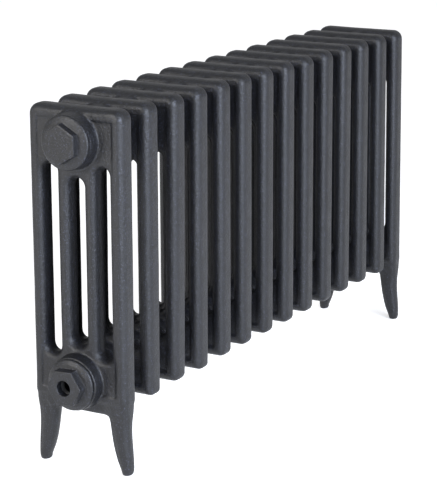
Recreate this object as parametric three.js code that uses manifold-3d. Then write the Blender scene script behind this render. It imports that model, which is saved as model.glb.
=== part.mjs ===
// Fourteen-section, four-column cast-iron radiator with its end fittings.
// Millimetres, +Z up. X runs along the row of sections, section 1 is at -X, and the front is -Y.
// The floor is Z = 0 and X = Y = 0 is the middle of the row.
import * as THREE from "three";
import { mergeVertices } from "three/addons/utils/BufferGeometryUtils.js";
import Module from "manifold-3d";

const wasm = await Module();
wasm.setup();

// Overall sizes
const SECTION_COUNT = 14;
const SECTION_PITCH = 60;
const SECTION_DEPTH = 135;
const SECTION_THICKNESS = 30;
const RADIATOR_HEIGHT = 460;
const BODY_BOTTOM = 90; // underside of a section without feet, above the floor

// Fits
const FIT = 0.3; // between a thread and its hole, and either side of a gasket
const JOINT_GAP = 1; // between the hub faces of neighbouring sections

// Section casting
const CORNER_RADIUS = 13.5;
const SLOT_COUNT = 3;
const SLOT_WIDTH = 20;
const OUTER_SLOT_DROP = 72; // slot ends, measured down from the top
const MIDDLE_SLOT_DROP = 87.5;
const OUTER_SLOT_RISE = 57.5; // slot ends, measured up from the underside
const MIDDLE_SLOT_RISE = 70.5;
const EDGE_INSET_SHARE = 0.43; // how far the rounded edge runs in over a column, as a share of its width
const EDGE_ROUND_DEPTH = 10; // how far it runs back through the thickness
const WALL = 4.5;
const WATERWAY_THICKNESS = 16;
const WATERWAY_CHAMFER = 9;

// Hubs that join the sections
const TOP_HUB_DROP = 40; // hub axis below the top
const BOTTOM_HUB_RISE = 27; // hub axis above the underside
const HUB_FACE_RADIUS = 34;
const HUB_ROOT_RADIUS = 36;
const THREAD_RADIUS = 20.7; // the 1 1/4 inch joining thread
const NIPPLE_LENGTH = 36;
const NIPPLE_BORE_RADIUS = 15.5;

// End fittings: a flange with a sloping face, a hexagon, and a threaded cup behind
const GASKET_THICKNESS = 1;
const GASKET_BORE_RADIUS = THREAD_RADIUS + 1.5;
const FLANGE_RADIUS = 33;
const FLANGE_RIM = 3;
const FLANGE_RISE = 2.5; // height of the sloping face
const HEX_ACROSS_FLATS = 43;
const HEX_CORNER_RADIUS = HEX_ACROSS_FLATS / 2 / Math.cos(Math.PI / 6);
const PLUG_HEX_HEIGHT = 10;
const BUSH_HEX_HEIGHT = 12.5;
const VENT_HEX_HEIGHT = 5;
const HEX_CHAMFER = 0.8;
const PLUG_TURN = 0.5; // degrees from a corner straight up, as each hexagon stands when tight
const BUSH_TURN = 33;
const CUP_LENGTH = 18;
const CUP_RADIUS = 15;
const PIPE_BORE_RADIUS = 9.3; // the half-inch pipe thread, at its crests
const PIPE_BORE_LENGTH = 15;
const PIPE_BORE_CHAMFER = 0.6;

// Air vent in the far top bush
const VENT_SHANK_LENGTH = 12;
const VENT_HEAD_RADIUS = 11.5;
const VENT_HEAD_HEIGHT = 5;
const VENT_WELL_RADIUS = 5.5;
const VENT_WELL_DEPTH = 3;
const SCREW_RADIUS = 2.7;
const SCREW_LENGTH = 14;
const SCREW_SQUARE = 5;
const SCREW_SQUARE_HEIGHT = 4.5;

// Feet of the end sections, front foot, from the root inside the casting down to the toe
const FOOT_RINGS = [
  // share of BODY_BOTTOM, inset of the outer edge, width along Y, half thickness along X
  { level: 1.2, inset: 1.2, width: 29.5, half: 12.6 },
  { level: 1.0, inset: 0.6, width: 28.4, half: 13 },
  { level: 0.83, inset: 1.4, width: 27, half: 12.9 },
  { level: 0.61, inset: 3.2, width: 21.6, half: 12.4 },
  { level: 0.41, inset: 2.3, width: 19.4, half: 11.5 },
  { level: 0.22, inset: 0.8, width: 16.4, half: 10.2 },
  { level: 0.083, inset: 0.2, width: 12.4, half: 8.8 },
  { level: 0.033, inset: 0.8, width: 11.2, half: 7.8 },
  { level: 0, inset: 2.4, width: 8.8, half: 6.2 },
];
const FOOT_WEB_BOTTOM = 76.5;
const FOOT_WEB_OVERLAP = 12; // how far the web runs up inside the casting
const FOOT_WEB_HALF_THICKNESS = 12;
const FOOT_WEB_EDGE = 4;

// Facets
const HUB_SIDES = 16;
const THREAD_SIDES = 8;
const SMALL_SIDES = 12;
const SLOT_END_STEPS = 3;
const CORNER_STEPS = 2;
const EDGE_STEPS = 2;
const FOOT_SIDES = 10;

// Sizes that follow from the ones above
const COLUMN_WIDTH = (SECTION_DEPTH - SLOT_COUNT * SLOT_WIDTH) / (SLOT_COUNT + 1);
const SLOT_SPACING = COLUMN_WIDTH + SLOT_WIDTH;
const TOP_AXIS_Z = RADIATOR_HEIGHT - TOP_HUB_DROP;
const BOTTOM_AXIS_Z = BODY_BOTTOM + BOTTOM_HUB_RISE;
const HUB_REACH = (SECTION_PITCH - JOINT_GAP) / 2;
const PORT_RADIUS = THREAD_RADIUS + FIT;
const FLANGE_BACK = HUB_REACH + FIT + GASKET_THICKNESS + FIT; // from the end section's mid-plane
const FIRST_SECTION_X = (-(SECTION_COUNT - 1) * SECTION_PITCH) / 2;
const CUT_OVERRUN = 5;

const ALONG_ROW = new THREE.Matrix4().makeBasis(
  new THREE.Vector3(0, 1, 0),
  new THREE.Vector3(0, 0, 1),
  new THREE.Vector3(1, 0, 0),
);

const COLOURS = {
  casting: { color: 0x4b4d53, roughness: 0.55, metalness: 0.25 },
  fitting: { color: 0x4b4d53, roughness: 0.55, metalness: 0.25 },
  nipple: { color: 0x5a5754, roughness: 0.6, metalness: 0.7 },
  gasket: { color: 0x1d1d1f, roughness: 0.9, metalness: 0 },
  brass: { color: 0xb08a45, roughness: 0.35, metalness: 1 },
};

function toSolid(geometry) {
  const plain = new THREE.BufferGeometry();
  const source = geometry.index ? geometry.toNonIndexed() : geometry;
  plain.setAttribute("position", source.getAttribute("position"));
  const welded = mergeVertices(plain, 1e-4);
  const mesh = new wasm.Mesh({
    numProp: 3,
    vertProperties: welded.getAttribute("position").array,
    triVerts: new Uint32Array(welded.index.array),
  });
  return new wasm.Manifold(mesh);
}

function toGeometry(solid) {
  const mesh = solid.getMesh();
  const geometry = new THREE.BufferGeometry();
  const stride = mesh.numProp;
  const positions = new Float32Array(mesh.numVert * 3);
  for (let i = 0; i < mesh.numVert; i++) {
    positions.set(mesh.vertProperties.subarray(i * stride, i * stride + 3), i * 3);
  }
  geometry.setAttribute("position", new THREE.BufferAttribute(positions, 3));
  geometry.setIndex(new THREE.BufferAttribute(mesh.triVerts, 1));
  geometry.computeVertexNormals();
  return geometry;
}

// A solid of revolution about X; the profile lists [distance along X, radius] from one end on the
// axis to the other, or closed on itself for a ring.
function turned(profile, sides) {
  const points = profile.map(([along, radius]) => new THREE.Vector2(radius, along));
  const geometry = new THREE.LatheGeometry(points, sides);
  geometry.rotateZ(-Math.PI / 2);
  return toSolid(geometry);
}

function rod(from, to, radius, sides) {
  const profile = [
    [from, 0],
    [from, radius],
    [to, radius],
    [to, 0],
  ];
  return turned(profile, sides);
}

function ring(from, to, inner, outer, sides) {
  const profile = [
    [from, inner],
    [from, outer],
    [to, outer],
    [to, inner],
    [from, inner],
  ];
  return turned(profile, sides);
}

// A prism along X about the axis Y = Z = 0, with the rims of its outer end chamfered.
function hexagon(from, to, cornerRadius, chamfer, turnDegrees) {
  const profile = [
    [from, 0],
    [from, cornerRadius],
    [to - chamfer, cornerRadius],
    [to, cornerRadius - chamfer],
    [to, 0],
  ];
  const turn = (turnDegrees * Math.PI) / 180;
  const points = profile.map(([along, radius]) => new THREE.Vector2(radius, along));
  const geometry = new THREE.LatheGeometry(points, 6, turn);
  geometry.rotateZ(-Math.PI / 2);
  return toSolid(geometry);
}

function cornerPoints(points, centreY, centreZ, radius, fromDegrees, steps) {
  for (let i = 0; i <= steps; i++) {
    const angle = ((fromDegrees + (90 * i) / steps) * Math.PI) / 180;
    points.push(
      new THREE.Vector2(centreY + radius * Math.cos(angle), centreZ + radius * Math.sin(angle)),
    );
  }
}

function roundedRectangle(halfWidth, bottom, top, radius, steps) {
  const points = [];
  cornerPoints(points, halfWidth - radius, top - radius, radius, 0, steps);
  cornerPoints(points, -halfWidth + radius, top - radius, radius, 90, steps);
  cornerPoints(points, -halfWidth + radius, bottom + radius, radius, 180, steps);
  cornerPoints(points, halfWidth - radius, bottom + radius, radius, 270, steps);
  return points;
}

// The upright slots between the columns; grow widens each one all round.
function slotOutlines(grow, steps) {
  const outlines = [];
  for (let i = 0; i < SLOT_COUNT; i++) {
    const place = i - (SLOT_COUNT - 1) / 2;
    const isMiddle = place === 0;
    const radius = SLOT_WIDTH / 2 + grow;
    const top = RADIATOR_HEIGHT - (isMiddle ? MIDDLE_SLOT_DROP : OUTER_SLOT_DROP) + grow;
    const bottom = BODY_BOTTOM + (isMiddle ? MIDDLE_SLOT_RISE : OUTER_SLOT_RISE) - grow;
    const points = [];
    for (let k = 0; k <= steps; k++) {
      const angle = (Math.PI * k) / steps;
      points.push(
        new THREE.Vector2(
          place * SLOT_SPACING + radius * Math.cos(angle),
          top - radius + radius * Math.sin(angle),
        ),
      );
    }
    for (let k = 0; k <= steps; k++) {
      const angle = Math.PI + (Math.PI * k) / steps;
      points.push(
        new THREE.Vector2(
          place * SLOT_SPACING + radius * Math.cos(angle),
          bottom + radius + radius * Math.sin(angle),
        ),
      );
    }
    outlines.push(points);
  }
  return outlines;
}

// A flat shape in Y and Z given a thickness along X, centred on X = 0, with its edges rounded.
function slab(outline, holes, thickness, edgeInset, edgeDepth) {
  const shape = new THREE.Shape(outline);
  for (const hole of holes) {
    shape.holes.push(new THREE.Path(hole));
  }
  const rounded = edgeInset > 0;
  const depth = rounded ? thickness - 2 * edgeDepth : thickness;
  const geometry = new THREE.ExtrudeGeometry(shape, {
    depth,
    bevelEnabled: rounded,
    bevelSize: edgeInset,
    bevelThickness: edgeDepth,
    bevelOffset: -edgeInset,
    bevelSegments: EDGE_STEPS,
    curveSegments: 1,
  });
  geometry.translate(0, 0, -depth / 2);
  geometry.applyMatrix4(ALONG_ROW);
  return toSolid(geometry);
}

// A closed skin through rings of equal point count, the first and last ones filled.
function loft(rings) {
  const positions = [];
  const index = [];
  const sides = rings[0].length;
  for (const points of rings) {
    for (const point of points) {
      positions.push(point.x, point.y, point.z);
    }
  }
  for (let r = 0; r + 1 < rings.length; r++) {
    for (let i = 0; i < sides; i++) {
      const a = r * sides + i;
      const b = r * sides + ((i + 1) % sides);
      index.push(a, b, a + sides);
      index.push(b, b + sides, a + sides);
    }
  }
  const last = (rings.length - 1) * sides;
  for (let i = 1; i + 1 < sides; i++) {
    index.push(0, i + 1, i);
    index.push(last, last + i, last + i + 1);
  }
  const geometry = new THREE.BufferGeometry();
  geometry.setAttribute("position", new THREE.Float32BufferAttribute(positions, 3));
  geometry.setIndex(index);
  return toSolid(geometry);
}

function foot(side) {
  const rings = [];
  for (const { level, inset, width, half } of [...FOOT_RINGS].reverse()) {
    const outer = SECTION_DEPTH / 2 - inset;
    const centre = outer - width / 2;
    const points = [];
    for (let i = 0; i < FOOT_SIDES; i++) {
      const angle = (2 * Math.PI * i) / FOOT_SIDES;
      points.push(
        new THREE.Vector3(
          half * Math.cos(angle),
          side * centre + (width / 2) * Math.sin(angle),
          level * BODY_BOTTOM,
        ),
      );
    }
    rings.push(points);
  }
  return loft(rings);
}

function hub(axisZ) {
  const profile = [
    [-HUB_REACH, 0],
    [-HUB_REACH, HUB_FACE_RADIUS],
    [0, HUB_ROOT_RADIUS],
    [HUB_REACH, HUB_FACE_RADIUS],
    [HUB_REACH, 0],
  ];
  return turned(profile, HUB_SIDES).translate(0, 0, axisZ);
}

function port(axisZ) {
  const reach = HUB_REACH + CUT_OVERRUN;
  return rod(-reach, reach, PORT_RADIUS, THREAD_SIDES).translate(0, 0, axisZ);
}

function sectionSolid(hasFeet) {
  const halfDepth = SECTION_DEPTH / 2;
  const outline = roundedRectangle(
    halfDepth,
    BODY_BOTTOM,
    RADIATOR_HEIGHT,
    CORNER_RADIUS,
    CORNER_STEPS,
  );
  const edgeInset = COLUMN_WIDTH * EDGE_INSET_SHARE;
  let solid = slab(
    outline,
    slotOutlines(0, SLOT_END_STEPS),
    SECTION_THICKNESS,
    edgeInset,
    EDGE_ROUND_DEPTH,
  );
  if (hasFeet) {
    const web = roundedRectangle(
      halfDepth - COLUMN_WIDTH,
      FOOT_WEB_BOTTOM,
      BODY_BOTTOM + FOOT_WEB_OVERLAP,
      FOOT_WEB_EDGE * 2,
      1,
    );
    const webThickness = 2 * FOOT_WEB_HALF_THICKNESS;
    solid = solid.add(slab(web, [], webThickness, FOOT_WEB_EDGE, FOOT_WEB_EDGE));
    solid = solid.add(foot(1)).add(foot(-1));
  }
  solid = solid.add(hub(TOP_AXIS_Z)).add(hub(BOTTOM_AXIS_Z));
  const waterway = slab(
    roundedRectangle(
      halfDepth - WALL,
      BODY_BOTTOM + WALL,
      RADIATOR_HEIGHT - WALL,
      WATERWAY_CHAMFER,
      1,
    ),
    slotOutlines(WALL, SLOT_END_STEPS),
    WATERWAY_THICKNESS,
    0,
    0,
  );
  return solid.subtract(waterway).subtract(port(TOP_AXIS_Z)).subtract(port(BOTTOM_AXIS_Z));
}

function nippleSolid() {
  const half = NIPPLE_LENGTH / 2;
  return ring(-half, half, NIPPLE_BORE_RADIUS, THREAD_RADIUS, THREAD_SIDES);
}

function gasketSolid() {
  return ring(0, GASKET_THICKNESS, GASKET_BORE_RADIUS, FLANGE_RADIUS, HUB_SIDES);
}

// Flange, hexagon and threaded cup, pointing along +X from the flange's back at X = 0.
function fittingBody(hexHeight, hexTurn) {
  const slopeTop = FLANGE_RIM + FLANGE_RISE;
  const flange = turned(
    [
      [0, 0],
      [0, FLANGE_RADIUS],
      [FLANGE_RIM, FLANGE_RADIUS],
      [slopeTop, HEX_CORNER_RADIUS],
      [slopeTop, 0],
    ],
    HUB_SIDES,
  );
  const hex = hexagon(
    FLANGE_RIM,
    slopeTop + hexHeight,
    HEX_CORNER_RADIUS,
    HEX_CHAMFER,
    hexTurn,
  );
  const cup = rod(-CUP_LENGTH, FLANGE_RIM, THREAD_RADIUS, THREAD_SIDES);
  return flange.add(hex).add(cup);
}

function plugSolid() {
  const body = fittingBody(PLUG_HEX_HEIGHT, PLUG_TURN);
  const hollow = rod(-CUP_LENGTH - CUT_OVERRUN, 0, CUP_RADIUS, THREAD_SIDES);
  return body.subtract(hollow);
}

function bushSolid(hexHeight) {
  const face = FLANGE_RIM + FLANGE_RISE + hexHeight;
  const boreEnd = face - PIPE_BORE_LENGTH;
  const bore = turned(
    [
      [-CUP_LENGTH - CUT_OVERRUN, 0],
      [-CUP_LENGTH - CUT_OVERRUN, CUP_RADIUS],
      [boreEnd - (CUP_RADIUS - PIPE_BORE_RADIUS), CUP_RADIUS],
      [boreEnd, PIPE_BORE_RADIUS],
      [face - PIPE_BORE_CHAMFER, PIPE_BORE_RADIUS],
      [face + PIPE_BORE_CHAMFER, PIPE_BORE_RADIUS + 2 * PIPE_BORE_CHAMFER],
      [face + PIPE_BORE_CHAMFER, 0],
    ],
    SMALL_SIDES,
  );
  return fittingBody(hexHeight, BUSH_TURN).subtract(bore);
}

// The vent's head seats on the bush's hexagon; X = 0 is the back of the head.
function ventSolid() {
  const body = turned(
    [
      [-VENT_SHANK_LENGTH, 0],
      [-VENT_SHANK_LENGTH, PIPE_BORE_RADIUS - FIT],
      [0, PIPE_BORE_RADIUS - FIT],
      [0, VENT_HEAD_RADIUS],
      [VENT_HEAD_HEIGHT - HEX_CHAMFER, VENT_HEAD_RADIUS],
      [VENT_HEAD_HEIGHT, VENT_HEAD_RADIUS - HEX_CHAMFER],
      [VENT_HEAD_HEIGHT, 0],
    ],
    SMALL_SIDES,
  );
  const well = rod(
    VENT_HEAD_HEIGHT - VENT_WELL_DEPTH,
    VENT_HEAD_HEIGHT + CUT_OVERRUN,
    VENT_WELL_RADIUS,
    SMALL_SIDES,
  );
  const passage = rod(
    -VENT_SHANK_LENGTH - CUT_OVERRUN,
    VENT_HEAD_HEIGHT,
    SCREW_RADIUS + FIT,
    SMALL_SIDES,
  );
  return body.subtract(well).subtract(passage);
}

// The bleed screw, with the key's square on its outer end; X = 0 is the vent's outer face.
function bleedScrewSolid() {
  const neck = FIT - VENT_WELL_DEPTH;
  const shank = rod(-SCREW_LENGTH, neck + FIT, SCREW_RADIUS, SMALL_SIDES);
  const squareHeight = SCREW_SQUARE_HEIGHT;
  const square = new THREE.BoxGeometry(squareHeight, SCREW_SQUARE, SCREW_SQUARE);
  square.translate(neck + squareHeight / 2, 0, 0);
  return shank.add(toSolid(square));
}

const radiator = new THREE.Group();
radiator.name = "radiator";

function place(name, geometry, look, x, z, facing = 1) {
  const mesh = new THREE.Mesh(geometry, new THREE.MeshStandardMaterial(COLOURS[look]));
  mesh.name = name;
  mesh.position.set(x, 0, z);
  if (facing < 0) {
    mesh.rotation.z = Math.PI;
  }
  radiator.add(mesh);
}

const plainSection = toGeometry(sectionSolid(false));
const footedSection = toGeometry(sectionSolid(true));
const nipple = toGeometry(nippleSolid());
const gasket = toGeometry(gasketSolid());

for (let i = 0; i < SECTION_COUNT; i++) {
  const label = String(i + 1).padStart(2, "0");
  const x = FIRST_SECTION_X + i * SECTION_PITCH;
  const isEnd = i === 0 || i === SECTION_COUNT - 1;
  place("section_" + label, isEnd ? footedSection : plainSection, "casting", x, 0);
  if (i + 1 < SECTION_COUNT) {
    const jointX = x + SECTION_PITCH / 2;
    place("top_nipple_" + label, nipple, "nipple", jointX, TOP_AXIS_Z);
    place("bottom_nipple_" + label, nipple, "nipple", jointX, BOTTOM_AXIS_Z);
  }
}

const ends = [
  { name: "blank_plug", solid: plugSolid(), facing: -1, z: TOP_AXIS_Z },
  { name: "valve_bush", solid: bushSolid(BUSH_HEX_HEIGHT), facing: -1, z: BOTTOM_AXIS_Z },
  { name: "vent_bush", solid: bushSolid(VENT_HEX_HEIGHT), facing: 1, z: TOP_AXIS_Z },
  { name: "return_bush", solid: bushSolid(BUSH_HEX_HEIGHT), facing: 1, z: BOTTOM_AXIS_Z },
];
const endMidX = -FIRST_SECTION_X;
for (const { name, solid, facing, z } of ends) {
  place(name, toGeometry(solid), "fitting", facing * (endMidX + FLANGE_BACK), z, facing);
  const gasketX = facing * (endMidX + HUB_REACH + FIT);
  place(name + "_gasket", gasket, "gasket", gasketX, z, facing);
}

const ventSeatX = endMidX + FLANGE_BACK + FLANGE_RIM + FLANGE_RISE + VENT_HEX_HEIGHT + FIT;
place("air_vent", toGeometry(ventSolid()), "brass", ventSeatX, TOP_AXIS_Z);
const screwX = ventSeatX + VENT_HEAD_HEIGHT;
place("bleed_screw", toGeometry(bleedScrewSolid()), "brass", screwX, TOP_AXIS_Z);

export default radiator;
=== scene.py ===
import math

import bmesh
import bpy
from mathutils import Matrix, Vector


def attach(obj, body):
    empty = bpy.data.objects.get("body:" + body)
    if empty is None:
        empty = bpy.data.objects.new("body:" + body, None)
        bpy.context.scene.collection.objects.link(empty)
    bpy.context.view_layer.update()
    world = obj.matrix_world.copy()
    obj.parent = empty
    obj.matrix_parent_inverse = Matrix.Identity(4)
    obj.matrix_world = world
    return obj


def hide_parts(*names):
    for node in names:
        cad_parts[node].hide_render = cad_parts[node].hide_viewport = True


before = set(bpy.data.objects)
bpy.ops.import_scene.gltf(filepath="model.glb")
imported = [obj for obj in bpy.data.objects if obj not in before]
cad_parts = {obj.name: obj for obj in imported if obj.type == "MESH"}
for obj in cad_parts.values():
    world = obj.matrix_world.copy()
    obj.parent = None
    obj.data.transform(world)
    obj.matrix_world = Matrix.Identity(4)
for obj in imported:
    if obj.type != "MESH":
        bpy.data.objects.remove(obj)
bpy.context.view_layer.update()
mm = 0.001  # lengths in the dictionaries are millimetres unless they say otherwise
print("frame loaded:", len(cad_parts), "nodes")


# the camera: angles in degrees, distances in metres, the lens for a film 36 mm wide
cameraSettings = {
    "turn": -60.10,
    "rise": 14.52,
    "roll": -0.25,
    "distance": 2.5772,
    "target": (-0.05645, 0.0, 0.20555),
    "lens": 134.23,
    "clip": (0.1, 30),
}


def placeCamera(settings):
    turn = math.radians(settings["turn"])
    rise = math.radians(settings["rise"])
    roll = math.radians(settings["roll"])
    back = Vector((
        math.sin(turn) * math.cos(rise),
        -math.cos(turn) * math.cos(rise),
        math.sin(rise),
    ))
    across = Vector((math.cos(turn), math.sin(turn), 0))
    up = back.cross(across)
    localX = math.cos(roll) * across + math.sin(roll) * up
    localY = math.cos(roll) * up - math.sin(roll) * across
    place = Vector(settings["target"]) + back * settings["distance"]
    data = bpy.data.cameras.new("camera")
    data.lens = settings["lens"]
    data.clip_start, data.clip_end = settings["clip"]
    camera = bpy.data.objects.new("camera", data)
    bpy.context.scene.collection.objects.link(camera)
    turned = Matrix((localX, localY, back)).transposed()
    camera.matrix_world = Matrix.Translation(place) @ turned.to_4x4()
    bpy.context.scene.camera = camera


placeCamera(cameraSettings)


# light: a grey room, a bluish soft box at the front, one facing the near end and a weak one above
lightSettings = {
    "room": (0.97, 0.98, 1.0),
    "roomStrength": 0.60,
    "aim": (0, 0, 0.23),  # metres, as the boxes' distances and sizes
    "boxes": [
        # name, direction turn, rise, distance, width, height, power, colour
        ("keyBox", -27, 18, 2.8, 1.9, 1.4, 158, (0.75, 0.83, 1.0)),
        ("endBox", -104, 20, 3.0, 1.4, 1.0, 68, (1.0, 0.98, 0.96)),
        ("frontBox", -8, 34, 1.8, 0.8, 0.8, 3, (1.0, 0.98, 0.95)),
    ],
}


def softLights(settings):
    scene = bpy.context.scene
    world = bpy.data.worlds.new("room")
    world.use_nodes = True
    sky = world.node_tree.nodes["Background"]
    sky.inputs["Color"].default_value = (*settings["room"], 1)
    sky.inputs["Strength"].default_value = settings["roomStrength"]
    scene.world = world
    aim = Vector(settings["aim"])
    for name, turn, rise, distance, width, height, power, colour in settings["boxes"]:
        a, e = math.radians(turn), math.radians(rise)
        away = Vector((math.sin(a) * math.cos(e), -math.cos(a) * math.cos(e), math.sin(e)))
        data = bpy.data.lights.new(name, "AREA")
        data.shape = "RECTANGLE"
        data.size = width
        data.size_y = height
        data.energy = power
        data.color = colour
        lamp = bpy.data.objects.new(name, data)
        lamp.location = aim + away * distance
        lamp.rotation_euler = (-away).to_track_quat("-Z", "Y").to_euler()
        scene.collection.objects.link(lamp)
    scene.view_settings.view_transform = "Standard"
    scene.view_settings.look = "None"


softLights(lightSettings)
print("camera and lights placed")


def link(tree, fromSocket, toSocket):
    tree.links.new(fromSocket, toSocket)


def newMaterial(name):
    material = bpy.data.materials.new(name)
    material.use_nodes = True
    tree = material.node_tree
    shader = tree.nodes["Principled BSDF"]
    spot = tree.nodes.new("ShaderNodeTexCoord")
    return material, tree, shader, spot.outputs["Object"]


def noise(tree, spot, scale, detail=2.0, roughness=0.5, shift=0.0):
    moved = tree.nodes.new("ShaderNodeMapping")
    moved.inputs["Location"].default_value = (shift, shift * 0.7, -shift)
    link(tree, spot, moved.inputs["Vector"])
    texture = tree.nodes.new("ShaderNodeTexNoise")
    texture.inputs["Scale"].default_value = scale
    texture.inputs["Detail"].default_value = detail
    texture.inputs["Roughness"].default_value = roughness
    link(tree, moved.outputs["Vector"], texture.inputs["Vector"])
    return texture.outputs["Fac"]


def spread(tree, value, low, high, toLow, toHigh):
    node = tree.nodes.new("ShaderNodeMapRange")
    node.inputs["From Min"].default_value = low
    node.inputs["From Max"].default_value = high
    node.inputs["To Min"].default_value = toLow
    node.inputs["To Max"].default_value = toHigh
    link(tree, value, node.inputs["Value"])
    return node.outputs["Result"]


def tint(tree, share, first, second):
    node = tree.nodes.new("ShaderNodeMix")
    node.data_type = "RGBA"
    link(tree, share, node.inputs[0])
    for socket, value in ((node.inputs[6], first), (node.inputs[7], second)):
        if isinstance(value, bpy.types.NodeSocket):
            link(tree, value, socket)
        else:
            socket.default_value = (*value, 1)
    return node.outputs[2]


def bump(tree, height, distance, before=None):
    node = tree.nodes.new("ShaderNodeBump")
    node.inputs["Distance"].default_value = distance
    node.inputs["Strength"].default_value = 1.0
    link(tree, height, node.inputs["Height"])
    if before is not None:
        link(tree, before, node.inputs["Normal"])
    return node.outputs["Normal"]


# satin paint over cast iron; scales are waves per metre and depths are metres
paintSettings = {
    "dark": (0.0042, 0.0042, 0.0046),
    "light": (0.0062, 0.0063, 0.0070),
    "cloudScale": 11,
    # painted glints: pale bluish flecks mixed into the paint colour stand in for the fine sparkle
    # of the lit satin paint
    "paintedGlint": (0.048, 0.053, 0.080),
    "paintedGlintScale": 620,
    "paintedGlintRange": (0.58, 0.76),  # higher values leave fewer painted glints
    "paintedGlintShare": 0.6,
    "roughness": (0.40, 0.50),
    "sheenScale": 55,
    "shine": 0.37,
    "peelScale": 300,
    "peelDepth": 0.0006,
    "grainScale": 1100,
    "grainDepth": 0.00024,
    "pitScale": 45,
    "pitDepth": 0.0005,
}


def paintedIron(name, settings, shift=0.0):
    material, tree, shader, spot = newMaterial(name)
    clouds = spread(tree, noise(tree, spot, settings["cloudScale"], 3, 0.55, shift), 0.3, 0.7, 0, 1)
    base = tint(tree, clouds, settings["dark"], settings["light"])
    # painted glints: pale bluish flecks scattered through the base colour, in place of fine
    # highlights
    glintNoise = noise(tree, spot, settings["paintedGlintScale"], 1, 0.5, 3.1)
    paintedGlints = spread(tree, glintNoise, *settings["paintedGlintRange"], 0, settings["paintedGlintShare"])
    link(tree, tint(tree, paintedGlints, base, settings["paintedGlint"]), shader.inputs["Base Color"])
    shader.inputs["Specular IOR Level"].default_value = settings["shine"]
    sheen = noise(tree, spot, settings["sheenScale"], 3, 0.6, 7.7)
    sheen = spread(tree, sheen, 0.3, 0.7, *settings["roughness"])
    link(tree, sheen, shader.inputs["Roughness"])
    pits = noise(tree, spot, settings["pitScale"], 2, 0.45, 1.3)
    peel = noise(tree, spot, settings["peelScale"], 2, 0.5, 5.2)
    grain = noise(tree, spot, settings["grainScale"], 2, 0.6, 9.4)
    surface = bump(tree, pits, settings["pitDepth"])
    surface = bump(tree, peel, settings["peelDepth"], surface)
    surface = bump(tree, grain, settings["grainDepth"], surface)
    link(tree, surface, shader.inputs["Normal"])
    return material


ironSettings = {
    "dark": (0.09, 0.085, 0.08),
    "light": (0.20, 0.19, 0.18),
    "cloudScale": 90,
    "roughness": (0.45, 0.7),
    "metallic": 0.8,
    "grainScale": 700,
    "grainDepth": 0.0001,
}


def bareIron(name, settings):
    material, tree, shader, spot = newMaterial(name)
    clouds = spread(tree, noise(tree, spot, settings["cloudScale"], 4, 0.6), 0.3, 0.7, 0, 1)
    colour = tint(tree, clouds, settings["dark"], settings["light"])
    link(tree, colour, shader.inputs["Base Color"])
    link(tree, spread(tree, clouds, 0, 1, *settings["roughness"]), shader.inputs["Roughness"])
    shader.inputs["Metallic"].default_value = settings["metallic"]
    grain = noise(tree, spot, settings["grainScale"], 3, 0.6)
    link(tree, bump(tree, grain, settings["grainDepth"]), shader.inputs["Normal"])
    return material


gasketSettings = {
    "dark": (0.010, 0.010, 0.011),
    "light": (0.022, 0.021, 0.021),
    "fibreScale": 900,
    "fibreDepth": 0.00008,
    "roughness": (0.75, 0.95),
}


def gasketFibre(name, settings):
    material, tree, shader, spot = newMaterial(name)
    fibres = noise(tree, spot, settings["fibreScale"], 3, 0.65)
    fibres = spread(tree, fibres, 0.35, 0.65, 0, 1)
    colour = tint(tree, fibres, settings["dark"], settings["light"])
    link(tree, colour, shader.inputs["Base Color"])
    link(tree, spread(tree, fibres, 0, 1, *settings["roughness"]), shader.inputs["Roughness"])
    link(tree, bump(tree, fibres, settings["fibreDepth"]), shader.inputs["Normal"])
    return material


brassSettings = {
    "dark": (0.52, 0.34, 0.12),
    "light": (0.72, 0.52, 0.22),
    "tarnishScale": 120,
    "roughness": (0.34, 0.22),
    "grainScale": 1500,
    "grainDepth": 0.00003,
}


def turnedBrass(name, settings):
    material, tree, shader, spot = newMaterial(name)
    tarnish = noise(tree, spot, settings["tarnishScale"], 4, 0.6)
    tarnish = spread(tree, tarnish, 0.3, 0.7, 0, 1)
    colour = tint(tree, tarnish, settings["dark"], settings["light"])
    link(tree, colour, shader.inputs["Base Color"])
    link(tree, spread(tree, tarnish, 0, 1, *settings["roughness"]), shader.inputs["Roughness"])
    shader.inputs["Metallic"].default_value = 1.0
    grain = noise(tree, spot, settings["grainScale"], 2, 0.6)
    link(tree, bump(tree, grain, settings["grainDepth"]), shader.inputs["Normal"])
    return material


castingPaint = paintedIron("castingPaint", paintSettings)
fittingPaint = paintedIron("fittingPaint", dict(paintSettings, pitDepth=0.0002), 2.0)
nippleIron = bareIron("nippleIron", ironSettings)
gasketMaterial = gasketFibre("gasketFibre", gasketSettings)
ventBrass = turnedBrass("ventBrass", brassSettings)
screwBrass = turnedBrass("screwBrass", dict(brassSettings, light=(0.78, 0.60, 0.30)))
print("materials made")


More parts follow.
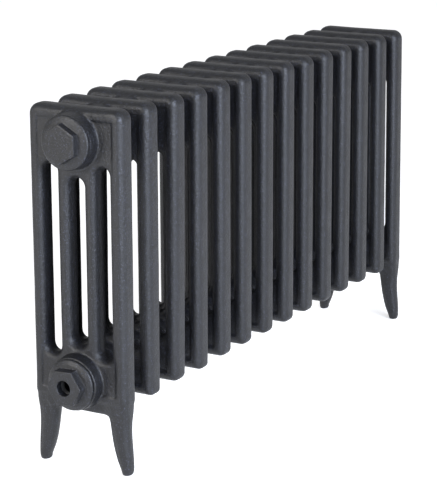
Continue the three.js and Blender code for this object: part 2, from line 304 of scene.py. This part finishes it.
# the sections: one node tree shapes every casting as a solid, in millimetres
castingSizes = {
    "count": 14,
    "pitch": 60,
    "depth": 135,
    "height": 460.3,
    "underside": 89.4,
    "thickness": 30,
    "corner": 13.5,
    "lowCorner": 8.0,
    "cornerChange": (220, 320),  # heights where the low corner gives way to the full one
    "leanLevel": 250,  # height where a leaning casting stays in line
    "middleSlot": (10.35, 160.3, 372.0),  # half width, lowest and highest point
    "outerSlot": (9.98, 147.3, 387.6),
    "outerSlotPlace": 38.6,
    "innerRound": (9.1, 13.0),  # rounding in the plane of the section and through it
    "outerRound": (8.4, 11.0),
    "outerFrom": (24, 50),  # distances off the middle where inner rounding becomes outer
    "squareness": 2.05,
    "panelInset": (12.5, 14.5, 12.5),  # side, top, bottom
    "panelDepth": 1.9,
    "panelCorner": 3,
    "panelSlope": 1.4,
    "columnsFrom": (144, 158),  # heights over which the separate columns begin, and end
    "columnsTo": (377, 391),
    "fullFrom": (36, 50),  # distances off the middle over which a column gets its full thickness
    "hubLevels": (420, 117),
    "hubReach": 29.5,
    "hubFace": 34,
    "hubRoot": 36,
    "hubEdge": 1.0,
    "hubFillet": 3,
    "port": 21,
    "ripple": 0.22,
    "rippleLength": 26,
    "seedStep": 3.7,
    "trueFrom": (26, 29),  # the ripple dies out towards the hub faces and the toes
    "trueTo": (2, 12),
    "grid": 2.1,
    "gridReach": (32.0, 72.0),  # half the grid's length along the row, half its depth
    "gridTop": 463.0,
    "gridBottom": 76.0,
    "gridFootDrop": 79.0,  # how much lower it starts for a casting with feet
}
footSizes = {
    "rings": [
        # height, inset of the outer edge, width front to back, half thickness
        (0.0, 2.6, 10.4, 6.8),
        (3.0, 1.0, 13.4, 8.6),
        (7.5, 0.3, 15.2, 9.6),
        (20, 0.6, 20.0, 11.2),
        (37, 1.9, 23.2, 12.5),
        (55, 2.9, 25.2, 13.2),
        (75, 2.0, 29.0, 13.4),
        (90, 1.8, 29.6, 13.4),
        (108, 2.7, 29.5, 12.6),
    ],
    "ringScales": (10, 40, 20),  # at least the largest inset, width and half thickness
    "outside": 1.5,  # the insets start this far outside the depth
    "squareness": (2.0, 3.4),  # round at the ankle, squarer where the foot joins the section
    "squareFrom": (66, 92),
    "hollowDepth": 1.1,
    "hollowSpread": 14,  # a larger spread makes the hollow narrower
    "hollowEdge": (5.5, 9.0),
    "hollowBottom": (9, 18),
    "hollowTop": 76,
    "endRound": 2.0,
    "webRound": 7.0,
    "bodyRound": 4.0,
}
webSizes = {"halfWidth": 48.75, "underside": 77.0, "top": 102, "half": 12, "edge": 4}
# how the castings differ from one another, as hand-moulded ones do, by their place in the row
castingQuirks = {
    "offset": {1: -0.1, 2: 0.2, 3: -1.3, 5: -0.2, 6: 1.1, 7: 0.5, 9: 0.3, 11: 0.2, 12: 0.2,
               13: -1.4, 14: -0.5},
    "lean": {1: -0.003, 2: -0.003, 3: -0.008, 4: -0.004, 9: 0.002, 10: 0.002, 12: 0.005,
             13: 0.007, 14: 0.009},
    "top": {1: 0.2, 2: 0.2, 3: 0.6, 4: 0.2, 5: 0.3, 6: 0.3, 7: 0.2, 11: 0.2, 13: -0.3, 14: -0.8},
    "underside": {2: -1.1, 4: -1.0, 5: 0.3, 6: -0.4, 7: -0.4, 11: 0.3},
    "lowCorner": {2: 4.5, 4: 4.5},
    "slotShift": {1: 1.1},
    "grid": {1: 1.5},  # finer where the whole face is seen
}


def calc(operation, *values):
    tree = next(v.socket.id_data for v in values if isinstance(v, Field))
    node = tree.nodes.new("ShaderNodeMath")
    node.operation = operation
    for socket, value in zip(node.inputs, values):
        if isinstance(value, Field):
            link(tree, value.socket, socket)
        else:
            socket.default_value = value
    return Field(node.outputs[0])


class Field:
    # a value in a node tree, so that the shapes below read as sums

    def __init__(self, socket):
        self.socket = socket

    def __add__(self, other):
        return calc("ADD", self, other)

    def __sub__(self, other):
        return calc("SUBTRACT", self, other)

    def __rsub__(self, other):
        return calc("SUBTRACT", other, self)

    def __mul__(self, other):
        return calc("MULTIPLY", self, other)

    def __truediv__(self, other):
        return calc("DIVIDE", self, other)

    def __neg__(self):
        return calc("MULTIPLY", self, -1.0)

    def size(self):
        return calc("ABSOLUTE", self)

    def atLeast(self, other):
        return calc("MAXIMUM", self, other)

    def atMost(self, other):
        return calc("MINIMUM", self, other)


def hypot(a, b):
    return calc("SQRT", a * a + b * b)


def squareHypot(a, b, power):
    total = calc("POWER", a, power) + calc("POWER", b, power)
    root = calc("DIVIDE", 1.0, power) if isinstance(power, Field) else 1 / power
    return calc("POWER", total, root)


def roundBox(a, b):
    # distance outside a corner whose two sides are a = 0 and b = 0
    return hypot(a.atLeast(0), b.atLeast(0)) + a.atLeast(b).atMost(0)


def step(value, low, high, toLow=0.0, toHigh=1.0):
    tree = value.socket.id_data
    node = tree.nodes.new("ShaderNodeMapRange")
    node.interpolation_type = "SMOOTHSTEP"
    limits = (("From Min", low), ("From Max", high), ("To Min", toLow), ("To Max", toHigh))
    for name, number in limits:
        if isinstance(number, Field):
            link(tree, number.socket, node.inputs[name])
        else:
            node.inputs[name].default_value = number
    link(tree, value.socket, node.inputs["Value"])
    return Field(node.outputs["Result"])


def curveOf(share, points, scale):
    # a smooth curve through (share, value) points, times scale
    tree = share.socket.id_data
    node = tree.nodes.new("ShaderNodeFloatCurve")
    curve = node.mapping.curves[0]
    while len(curve.points) < len(points):
        curve.points.new(0.5, 0.5)
    for point, (place, value) in zip(curve.points, points):
        point.location = (place, value / scale)
    node.mapping.update()
    link(tree, share.socket, node.inputs["Value"])
    return Field(node.outputs[0]) * scale


def newShapeTree(name, inputs):
    tree = bpy.data.node_groups.new(name, "GeometryNodeTree")
    sockets = {}
    for label, kind, value in inputs:
        socket = tree.interface.new_socket(label, in_out="INPUT", socket_type=kind)
        if value is not None:
            socket.default_value = value
        sockets[label] = socket.identifier
    tree.interface.new_socket("Shape", in_out="OUTPUT", socket_type="NodeSocketGeometry")
    entry = tree.nodes.new("NodeGroupInput")
    return tree, sockets, entry


def endShapeTree(tree, shape, materialSocket):
    realized = tree.nodes.new("GeometryNodeRealizeInstances")
    link(tree, shape, realized.inputs[0])
    painted = tree.nodes.new("GeometryNodeSetMaterial")
    link(tree, realized.outputs[0], painted.inputs["Geometry"])
    link(tree, materialSocket, painted.inputs["Material"])
    leave = tree.nodes.new("NodeGroupOutput")
    link(tree, painted.outputs[0], leave.inputs[0])


def castingTree(s):
    tree, sockets, entry = newShapeTree("casting", [
        ("Place along row", "NodeSocketFloat", 0.0),
        ("Offset", "NodeSocketFloat", 0.0),
        ("Lean", "NodeSocketFloat", 0.0),
        ("Slot shift", "NodeSocketFloat", 0.0),
        ("Depth", "NodeSocketFloat", s["depth"]),
        ("Height", "NodeSocketFloat", s["height"]),
        ("Underside", "NodeSocketFloat", s["underside"]),
        ("Low corner", "NodeSocketFloat", s["lowCorner"]),
        ("Thickness", "NodeSocketFloat", s["thickness"]),
        ("Panel depth", "NodeSocketFloat", s["panelDepth"]),
        ("Hub radius", "NodeSocketFloat", s["hubRoot"]),
        ("Feet", "NodeSocketFloat", 0.0),
        ("Ripple", "NodeSocketFloat", s["ripple"]),
        ("Seed", "NodeSocketFloat", 0.0),
        ("Grid", "NodeSocketFloat", s["grid"]),
        ("Material", "NodeSocketMaterial", None),
    ])
    given = {label: Field(entry.outputs[label]) for label in sockets if label != "Material"}

    spot = tree.nodes.new("GeometryNodeInputPosition")
    scaled = tree.nodes.new("ShaderNodeVectorMath")
    scaled.operation = "SCALE"
    scaled.inputs["Scale"].default_value = 1 / mm
    link(tree, spot.outputs[0], scaled.inputs[0])
    apart = tree.nodes.new("ShaderNodeSeparateXYZ")
    link(tree, scaled.outputs[0], apart.inputs[0])
    x = (Field(apart.outputs[0]) - given["Place along row"]).size()
    hubY = Field(apart.outputs[1])
    z = Field(apart.outputs[2])
    lean = given["Lean"] * (z - s["leanLevel"])
    signed = hubY - given["Offset"] - lean
    y = signed.size()
    slotY = (signed - given["Slot shift"]).size()

    # the outline seen along the row, and the slots between the columns
    corner = step(z, *s["cornerChange"], given["Low corner"], s["corner"])
    middle = (given["Height"] + given["Underside"]) * 0.5
    halfHeight = (given["Height"] - given["Underside"]) * 0.5
    sideways = y - (given["Depth"] * 0.5 - corner)
    upwards = (z - middle).size() - (halfHeight - corner)
    outline = roundBox(sideways, upwards) - corner

    def slot(half, low, high, place):
        reach = (high - low) / 2 - half
        beyond = ((z - (high + low) / 2).size() - reach).atLeast(0)
        return hypot(slotY - place, beyond) - half

    middleSlot = slot(*s["middleSlot"], 0.0)
    outerSlot = slot(*s["outerSlot"], s["outerSlotPlace"])
    plan = outline.atLeast(-middleSlot).atLeast(-outerSlot)

    # thickness: full in the frame round the edge, less in the panel it encloses
    sideInset, topInset, lowInset = s["panelInset"]
    panelSide = y - (given["Depth"] * 0.5 - sideInset)
    panelTop = z - (given["Height"] - topInset)
    panelLow = (given["Underside"] + lowInset) - z
    eased = s["panelCorner"]
    panelEdge = roundBox(panelSide + eased, panelTop.atLeast(panelLow) + eased) - eased
    lowered = step(panelEdge, -s["panelSlope"], 0.0, 1.0, 0.0)
    inColumns = step(z, *s["columnsFrom"]) * step(z, *s["columnsTo"], 1.0, 0.0)
    keepFrame = 1.0 - inColumns * step(y, *s["fullFrom"])
    half = given["Thickness"] * 0.5 - lowered * keepFrame * given["Panel depth"]

    outer = step(y, *s["outerFrom"])
    innerIn, innerThrough = s["innerRound"]
    outerIn, outerThrough = s["outerRound"]
    roundIn = outer * (outerIn - innerIn) + innerIn
    roundThrough = outer * (outerThrough - innerThrough) + innerThrough
    u = plan + roundIn
    v = (x - (half - roundThrough)) * (roundIn / roundThrough)
    corners = squareHypot(u.atLeast(0), v.atLeast(0), s["squareness"])
    body = corners + u.atLeast(v).atMost(0) - roundIn

    # feet and the web between them
    rings = footSizes["rings"]
    insetScale, widthScale, thickScale = footSizes["ringScales"]
    top = rings[-1][0]
    level = (z / top).atLeast(0).atMost(1)
    inset = curveOf(level, [(ring[0] / top, ring[1]) for ring in rings], insetScale)
    width = curveOf(level, [(ring[0] / top, ring[2]) for ring in rings], widthScale) * 0.5
    thick = curveOf(level, [(ring[0] / top, ring[3]) for ring in rings], thickScale)
    centre = given["Depth"] * 0.5 + footSizes["outside"] - inset - width
    square = step(z, *footSizes["squareFrom"], *footSizes["squareness"])
    across = (y - centre).size() / width
    leg = squareHypot(across, x / thick, square) - 1
    leg = leg * thick.atMost(width)
    hollowAcross = across * footSizes["hollowSpread"]
    hollowUp = (z - footSizes["hollowTop"]).atLeast(0)
    hollow = step(hypot(hollowAcross, hollowUp), *footSizes["hollowEdge"], 1.0, 0.0)
    hollow = hollow * step(z, *footSizes["hollowBottom"])
    leg = leg + hollow * footSizes["hollowDepth"]
    leg = calc("SMOOTH_MAX", leg, -z, footSizes["endRound"])
    leg = calc("SMOOTH_MAX", leg, z - top, footSizes["endRound"])
    edge = webSizes["edge"]
    webAcross = y - (webSizes["halfWidth"] - edge)
    webUp = (z - (webSizes["top"] + webSizes["underside"]) / 2).size()
    webUp = webUp - ((webSizes["top"] - webSizes["underside"]) / 2 - edge)
    webIn = x - (webSizes["half"] - edge)
    web = hypot(hypot(webAcross.atLeast(0), webUp.atLeast(0)), webIn.atLeast(0))
    web = web + webAcross.atLeast(webUp).atLeast(webIn).atMost(0) - edge
    feet = calc("SMOOTH_MIN", leg, web, footSizes["webRound"])
    footed = calc("SMOOTH_MIN", body, feet, footSizes["bodyRound"])
    body = body + (footed - body) * given["Feet"]

    # hubs on both faces, then the ports through them
    ports = None
    taper = (s["hubRoot"] - s["hubFace"]) / s["hubReach"]
    for hubLevel in s["hubLevels"]:
        radius = hypot(hubY, z - hubLevel)
        side = radius - (given["Hub radius"] - x * taper)
        end = x - s["hubReach"]
        hub = roundBox(side + s["hubEdge"], end + s["hubEdge"]) - s["hubEdge"]
        body = calc("SMOOTH_MIN", body, hub, s["hubFillet"])
        port = s["port"] - radius
        ports = port if ports is None else ports.atLeast(port)

    # a slight unevenness, all but on the hub faces and the toes
    seeded = tree.nodes.new("ShaderNodeTexNoise")
    seeded.noise_dimensions = "4D"
    seeded.inputs["Scale"].default_value = 1 / s["rippleLength"]
    seeded.inputs["Detail"].default_value = 1.5
    link(tree, scaled.outputs[0], seeded.inputs["Vector"])
    link(tree, given["Seed"].socket, seeded.inputs["W"])
    ripple = (Field(seeded.outputs[0]) - 0.5) * 2 * given["Ripple"]
    away = step(x, *s["trueFrom"], 1.0, 0.0)
    solid = (body + ripple * away * step(z, *s["trueTo"])).atLeast(ports)
    density = 0.5 - solid

    # the grid the solid is read from
    cube = tree.nodes.new("GeometryNodeVolumeCube")
    link(tree, density.socket, cube.inputs["Density"])
    cube.inputs["Background"].default_value = -20
    lowZ = s["gridBottom"] - given["Feet"] * s["gridFootDrop"]
    highZ = s["gridTop"]
    reachX, reachY = s["gridReach"]
    lowest = tree.nodes.new("ShaderNodeCombineXYZ")
    highest = tree.nodes.new("ShaderNodeCombineXYZ")
    link(tree, ((given["Place along row"] - reachX) * mm).socket, lowest.inputs[0])
    link(tree, ((given["Place along row"] + reachX) * mm).socket, highest.inputs[0])
    lowest.inputs[1].default_value = -reachY * mm
    highest.inputs[1].default_value = reachY * mm
    link(tree, (lowZ * mm).socket, lowest.inputs[2])
    highest.inputs[2].default_value = highZ * mm
    link(tree, lowest.outputs[0], cube.inputs["Min"])
    link(tree, highest.outputs[0], cube.inputs["Max"])
    for axis, span in (("X", 2 * reachX), ("Y", 2 * reachY), ("Z", highZ - lowZ)):
        steps = calc("DIVIDE", span, given["Grid"])
        link(tree, calc("CEIL", steps).socket, cube.inputs["Resolution " + axis])
    mesher = tree.nodes.new("GeometryNodeVolumeToMesh")
    mesher.inputs["Threshold"].default_value = 0.5
    mesher.inputs["Adaptivity"].default_value = 0
    link(tree, cube.outputs[0], mesher.inputs["Volume"])
    smooth = tree.nodes.new("GeometryNodeSetShadeSmooth")
    link(tree, mesher.outputs[0], smooth.inputs["Geometry"])
    endShapeTree(tree, smooth.outputs[0], entry.outputs["Material"])
    return tree, sockets


def grow(name, tree, sockets, values):
    # runs a tree with these values and keeps its result as a plain mesh
    carrier = bpy.data.objects.new(name + "Carrier", bpy.data.meshes.new(name + "Carrier"))
    bpy.context.scene.collection.objects.link(carrier)
    modifier = carrier.modifiers.new("shape", "NODES")
    modifier.node_group = tree
    for label, value in values.items():
        modifier[sockets[label]] = value
    carrier.update_tag()
    evaluated = carrier.evaluated_get(bpy.context.evaluated_depsgraph_get())
    mesh = bpy.data.meshes.new_from_object(evaluated)
    mesh.name = name
    carrier.modifiers.clear()
    bpy.data.objects.remove(carrier)
    piece = bpy.data.objects.new(name, mesh)
    bpy.context.scene.collection.objects.link(piece)
    return piece


shapeCasting, castingSockets = castingTree(castingSizes)
firstPlace = -(castingSizes["count"] - 1) * castingSizes["pitch"] / 2
for number in range(1, castingSizes["count"] + 1):
    isEnd = number in (1, castingSizes["count"])
    quirks = {label: values.get(number) for label, values in castingQuirks.items()}
    name = f"casting{number:02d}"
    piece = grow(name, shapeCasting, castingSockets, {
        "Place along row": firstPlace + (number - 1) * castingSizes["pitch"],
        "Offset": quirks["offset"] or 0.0,
        "Lean": quirks["lean"] or 0.0,
        "Slot shift": quirks["slotShift"] or 0.0,
        "Low corner": quirks["lowCorner"] or castingSizes["lowCorner"],
        "Height": castingSizes["height"] + (quirks["top"] or 0.0),
        "Underside": castingSizes["underside"] + (quirks["underside"] or 0.0),
        "Feet": 1.0 if isEnd else 0.0,
        "Seed": number * castingSizes["seedStep"],
        "Grid": quirks["grid"] or castingSizes["grid"],
        "Material": castingPaint,
    })
    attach(piece, "radiator")
    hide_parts(f"section_{number:02d}")
    print(name, len(piece.data.polygons), "faces")


# a pale sheet under the radiator that runs out of sight; its reach is in metres
floorSettings = {"reach": 12, "grey": 0.80, "roughness": 0.9, "shine": 0.1, "glow": 0.50}


def stageFloor(settings):
    mesh = bpy.data.meshes.new("floor")
    reach = settings["reach"]
    corners = [(-reach, -reach, 0), (reach, -reach, 0), (reach, reach, 0), (-reach, reach, 0)]
    mesh.from_pydata(corners, [], [(0, 1, 2, 3)])
    floor = bpy.data.objects.new("floor", mesh)
    bpy.context.scene.collection.objects.link(floor)
    material, tree, shader, spot = newMaterial("paleFloor")
    shader.inputs["Base Color"].default_value = (*[settings["grey"]] * 3, 1)
    shader.inputs["Roughness"].default_value = settings["roughness"]
    shader.inputs["Specular IOR Level"].default_value = settings["shine"]
    shader.inputs["Emission Color"].default_value = (1, 1, 1, 1)
    shader.inputs["Emission Strength"].default_value = settings["glow"]
    mesh.materials.append(material)


stageFloor(floorSettings)
print("floor made")


sharpAngle = 38  # turned pieces shade as an edge where they bend by more than this


def polygonRadius(angle, apothem, sides, cornerLimit):
    # distance to the edge of a regular polygon whose corner points at angle 0
    part = 2 * math.pi / sides
    offset = (angle % part) - part / 2
    return min(apothem / math.cos(offset), cornerLimit)


def turnedPiece(name, rings, material, startX, level, facing=1, turn=0.0, segments=96, knurl=0):
    # rings run from one end to the other, or back to the first one; each is (along, radius),
    # (along, radius, knurl depth) or (along, corner limit, middle to flat, sides)
    closed = rings[0] == rings[-1]
    if closed:
        rings = rings[:-1]
    form = bmesh.new()
    loops = []
    for ring in rings:
        along, radius = ring[0], ring[1]
        x = startX + facing * along
        if radius == 0:
            loops.append([form.verts.new((x * mm, 0, level * mm))])
            continue
        loop = []
        for i in range(segments):
            angle = 2 * math.pi * i / segments
            r = radius
            if len(ring) == 4:
                r = polygonRadius(angle, ring[2], ring[3], radius)
            elif knurl and len(ring) == 3:
                r = radius - ring[2] * (0.5 - 0.5 * math.cos(knurl * angle))
            at = angle + math.radians(turn)
            y, z = r * math.sin(at), level + r * math.cos(at)
            loop.append(form.verts.new((x * mm, y * mm, z * mm)))
        loops.append(loop)
    pairs = list(zip(loops, loops[1:])) + ([(loops[-1], loops[0])] if closed else [])
    for first, second in pairs:
        for i in range(segments):
            j = (i + 1) % segments
            near = [first[i % len(first)], first[j % len(first)]]
            far = [second[j % len(second)], second[i % len(second)]]
            corners = list(dict.fromkeys(near + far))  # three where a ring is a single point
            if len(corners) > 2:
                form.faces.new(corners)
    bmesh.ops.recalc_face_normals(form, faces=form.faces)
    mesh = bpy.data.meshes.new(name)
    form.to_mesh(mesh)
    form.free()
    for face in mesh.polygons:
        face.use_smooth = True
    mesh.set_sharp_from_angle(angle=math.radians(sharpAngle))
    mesh.materials.append(material)
    piece = bpy.data.objects.new(name, mesh)
    bpy.context.scene.collection.objects.link(piece)
    return piece


def threadRings(fromAlong, toAlong, crest, depth, pitch):
    # ridges from one place to another along the axis, either way
    rings = []
    way = 1 if toAlong > fromAlong else -1
    count = int(abs(toAlong - fromAlong) / pitch)
    for k in range(count):
        start = fromAlong + way * k * pitch
        rings += [(start + way * pitch * 0.25, crest), (start + way * pitch * 0.75, crest - depth)]
    return rings


# end fittings, turned about the hubs' axes
endSizes = {
    "mid": 390,  # the end sections' middles, off the middle of the row
    "back": 31.1,
    "rim": 3.0,
    "slope": 5.5,
    "apothem": 21.5,
    "corner": 24.75,
    "thread": 20.7,
    "threadDepth": 1.2,
    "threadPitch": 2.31,
    "cup": 15,
    "cupLength": 18,
    "bore": 9.5,
    "boreDepth": 1.1,
    "borePitch": 1.81,
}
topHub, lowHub = castingSizes["hubLevels"]
endFittings = [
    # name, CAD node, facing, level, flange radius, hexagon's top, bore's smooth part, turn
    ("blankPlug", "blank_plug", -1, topHub, 33.9, 15.5, None, 0.5),
    ("valveBush", "valve_bush", -1, lowHub, 32.7, 18.0, 9.5, 33),
    ("ventBush", "vent_bush", 1, topHub, 33.0, 10.5, 5.5, -33),
    ("returnBush", "return_bush", 1, lowHub, 32.7, 18.0, 9.5, 7.0),
]
endGasketSizes = {"inner": 22.5, "outer": 31.6, "from": -1.5, "to": -0.1}
# the plug's gasket is painted over, flush with the hub; the others show as a dark line
paintedLip = [
    (-0.03, 22.5), (-0.03, 33.95), (-2.45, 34.1), (-2.6, 33.9), (-1.6, 32.9), (-1.6, 22.5),
    (-0.03, 22.5),
]


def flangeRings(s, radius, hexTop, backEdge=0.5):
    # from the rim of the hexagon's face down to the back end of the thread
    flat = s["apothem"]
    corner = s["corner"]
    return [
        (hexTop, corner - 3.2, flat - 2.4, 6),
        (hexTop - 0.05, corner - 1.9, flat - 1.1, 6),
        (hexTop - 0.35, corner - 0.8, flat - 0.35, 6),
        (hexTop - 1.0, corner - 0.15, flat, 6),
        (hexTop - 2.2, corner, flat, 6),
        (s["slope"] + 1.3, corner, flat, 6),
        (s["slope"] + 0.35, corner + 0.35, flat + 0.3, 6),
        (s["slope"] + 0.02, corner + 0.9, flat + 1.1, 6),
        (s["slope"] - 0.05, corner + 1.6),
        (s["slope"] - 0.5, corner + 3.0),
        (s["rim"] + 0.65, radius - 2.7),
        (s["rim"] + 0.25, radius - 1.6),
        (s["rim"] - 0.45, radius - 0.7),
        (s["rim"] - 1.3, radius - 0.15),
        (s["rim"] - 2.0, radius),
        (backEdge, radius),
        (backEdge * 0.2, radius - backEdge * 0.3),
        (0.0, radius - backEdge),
        (0.0, s["thread"] + 0.6),
        (-0.3, s["thread"] - 0.9),
        *threadRings(-0.6, 1.2 - s["cupLength"], s["thread"], s["threadDepth"], s["threadPitch"]),
        (0.8 - s["cupLength"], s["thread"] - 1.0),
        (-s["cupLength"], s["thread"] - 1.8),
    ]


def plugRings(s, radius, hexTop):
    cup, back = s["cup"], s["cupLength"]
    return [
        (hexTop, 0), (hexTop, 9.0), *flangeRings(s, radius, hexTop, 0.05),
        (-back, cup + 0.6), (0.6 - back, cup), (-1.2, cup), (-0.2, cup - 1.0), (0.0, cup - 2.2),
        (0.0, 0),
    ]


def bushRings(s, radius, hexTop, smooth):
    bore, cup, back = s["bore"], s["cup"], s["cupLength"]
    mouth = (hexTop, bore + 1.0)
    return [
        mouth, *flangeRings(s, radius, hexTop),
        (-back, cup + 0.6), (0.6 - back, cup), (-3.0, cup), (-0.5, bore + 1.2),
        *threadRings(0.0, hexTop - smooth, bore + 2.2, s["boreDepth"], s["borePitch"]),
        (hexTop - smooth, bore + 0.5), (hexTop - 1.2, bore + 0.1), (hexTop - 0.6, bore + 0.3),
        mouth,
    ]


def ringRings(inner, outer, fromAlong, toAlong, edge=0.15):
    # a flat ring with eased edges
    start = (fromAlong, inner + edge)
    return [start, (fromAlong, outer - edge), (fromAlong + edge, outer), (toAlong - edge, outer),
            (toAlong, outer - edge), (toAlong, inner + edge), (toAlong - edge, inner),
            (fromAlong + edge, inner), start]


endBack = endSizes["mid"] + endSizes["back"]
darkLip = ringRings(endGasketSizes["inner"], endGasketSizes["outer"], endGasketSizes["from"],
                    endGasketSizes["to"])
for name, node, facing, level, radius, hexTop, smooth, turn in endFittings:
    isPlug = smooth is None
    if isPlug:
        rings = plugRings(endSizes, radius, hexTop)
    else:
        rings = bushRings(endSizes, radius, hexTop, smooth)
    piece = turnedPiece(name, rings, fittingPaint, facing * endBack, level, facing, turn)
    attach(piece, "radiator")
    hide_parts(node)
    lip = paintedLip if isPlug else darkLip
    gasket = turnedPiece(name + "Gasket", lip, fittingPaint if isPlug else gasketMaterial,
                         facing * endBack, level, facing)
    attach(gasket, "radiator")
    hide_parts(node + "_gasket")
print("end fittings made")


# air vent in the far top bush, and the screw that opens it
ventSizes = {"seat": 431.9, "knurls": 40, "thread": 9.0, "threadDepth": 0.9, "threadPitch": 1.81}
ventThread = threadRings(-0.7, -11.5, ventSizes["thread"], ventSizes["threadDepth"],
                         ventSizes["threadPitch"])
ventMouth = (5.0, 6.1)
ventRings = [
    ventMouth, (5.0, 9.9), (4.75, 10.6), (4.2, 11.2, 0.15), (3.8, 11.5, 0.35), (1.2, 11.5, 0.35),
    (0.8, 11.2, 0.15), (0.4, 10.6), (0.0, 10.2), (0.0, 9.3), (-0.5, 8.4),
    *ventThread,
    (-12.0, 7.6), (-12.0, 3.5), (-11.6, 3.0), (1.7, 3.0), (2.0, 3.3), (2.0, 5.1), (2.25, 5.45),
    (4.6, 5.5), ventMouth,
]
vent = turnedPiece("airVent", ventRings, ventBrass, ventSizes["seat"], topHub, segments=200,
                   knurl=ventSizes["knurls"])
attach(vent, "radiator")
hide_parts("air_vent")
screwSizes = {"face": 436.9, "turn": 45, "thread": 2.7, "threadDepth": 0.45, "threadPitch": 0.8}
screwThread = threadRings(-3.0, -12.6, screwSizes["thread"], screwSizes["threadDepth"],
                          screwSizes["threadPitch"])
screwRings = [
    (1.8, 0), (1.8, 2.9, 2.1, 4), (1.65, 3.2, 2.35, 4), (1.3, 3.45, 2.5, 4), (-2.1, 3.45, 2.5, 4),
    (-2.5, 3.0, 2.4, 4), (-2.7, 2.5), *screwThread,
    (-12.9, 2.1), (-13.9, 0.6), (-14.0, 0),
]
screw = turnedPiece("bleedScrew", screwRings, screwBrass, screwSizes["face"], topHub,
                    turn=screwSizes["turn"], segments=64)
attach(screw, "bleed_screw")
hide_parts("bleed_screw")
print("air vent and bleed screw made")


# joints between the castings: one part repeated along the row at both hub levels
jointSizes = {
    "count": castingSizes["count"] - 1,
    "pitch": castingSizes["pitch"] * mm,  # metres, as the two below
    "first": (firstPlace + castingSizes["pitch"] / 2) * mm,
    "levels": (topHub * mm, lowHub * mm),
    "gasketBore": 22.5,
    "gasketRadius": 32.6,
    "gasketHalf": 0.45,
    "nippleHalf": 18,
    "nippleBore": 15.5,
    "nippleThread": 20.7,
    "threadDepth": 1.2,
    "threadPitch": 2.31,
}


def rowTree(s):
    tree, sockets, entry = newShapeTree("rowOfParts", [
        ("Part", "NodeSocketObject", None),
        ("Count", "NodeSocketInt", s["count"]),
        ("Pitch", "NodeSocketFloat", s["pitch"]),
        ("First place", "NodeSocketFloat", s["first"]),
        ("Upper level", "NodeSocketFloat", s["levels"][0]),
        ("Lower level", "NodeSocketFloat", s["levels"][1]),
        ("Material", "NodeSocketMaterial", None),
    ])
    part = tree.nodes.new("GeometryNodeObjectInfo")
    part.inputs["As Instance"].default_value = True
    link(tree, entry.outputs["Part"], part.inputs["Object"])
    apart = tree.nodes.new("ShaderNodeCombineXYZ")
    link(tree, entry.outputs["Pitch"], apart.inputs[0])
    both = tree.nodes.new("GeometryNodeJoinGeometry")
    for label in ("Upper level", "Lower level"):
        start = tree.nodes.new("ShaderNodeCombineXYZ")
        link(tree, entry.outputs["First place"], start.inputs[0])
        link(tree, entry.outputs[label], start.inputs[2])
        line = tree.nodes.new("GeometryNodeMeshLine")
        link(tree, entry.outputs["Count"], line.inputs["Count"])
        link(tree, start.outputs[0], line.inputs["Start Location"])
        link(tree, apart.outputs[0], line.inputs["Offset"])
        link(tree, line.outputs[0], both.inputs[0])
    copies = tree.nodes.new("GeometryNodeInstanceOnPoints")
    link(tree, both.outputs[0], copies.inputs["Points"])
    link(tree, part.outputs["Geometry"], copies.inputs["Instance"])
    endShapeTree(tree, copies.outputs[0], entry.outputs["Material"])
    return tree, sockets


shapeRow, rowSockets = rowTree(jointSizes)


def alongRow(name, rings, material, nodes):
    part = turnedPiece(name + "Part", rings, material, 0, 0, segments=64)
    piece = grow(name, shapeRow, rowSockets, {
        "Part": part,
        "Count": jointSizes["count"],
        "Pitch": jointSizes["pitch"],
        "First place": jointSizes["first"],
        "Upper level": jointSizes["levels"][0],
        "Lower level": jointSizes["levels"][1],
        "Material": material,
    })
    bpy.data.objects.remove(part)
    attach(piece, "radiator")
    if nodes:
        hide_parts(*nodes)


def nippleRings(s):
    half, bore, thread = s["nippleHalf"], s["nippleBore"], s["nippleThread"]
    depth, pitch = s["threadDepth"], s["threadPitch"]
    start = (-half, bore + 0.5)
    return [
        start, (-half, thread - 1.6), (0.7 - half, thread - 0.9),
        *threadRings(0.9 - half, -1.6, thread, depth, pitch), (-1.2, thread - 1.3),
        (1.2, thread - 1.3), *threadRings(1.6, half - 0.9, thread, depth, pitch),
        (half - 0.7, thread - 0.9), (half, thread - 1.6), (half, bore + 0.5),
        (half - 0.5, bore), (0.5 - half, bore), start,
    ]


gasketRings = ringRings(jointSizes["gasketBore"], jointSizes["gasketRadius"],
                        -jointSizes["gasketHalf"], jointSizes["gasketHalf"])
alongRow("jointGaskets", gasketRings, gasketMaterial, [])
nippleNodes = [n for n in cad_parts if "nipple" in n]
alongRow("joiningNipples", nippleRings(jointSizes), nippleIron, nippleNodes)
print("joints made")
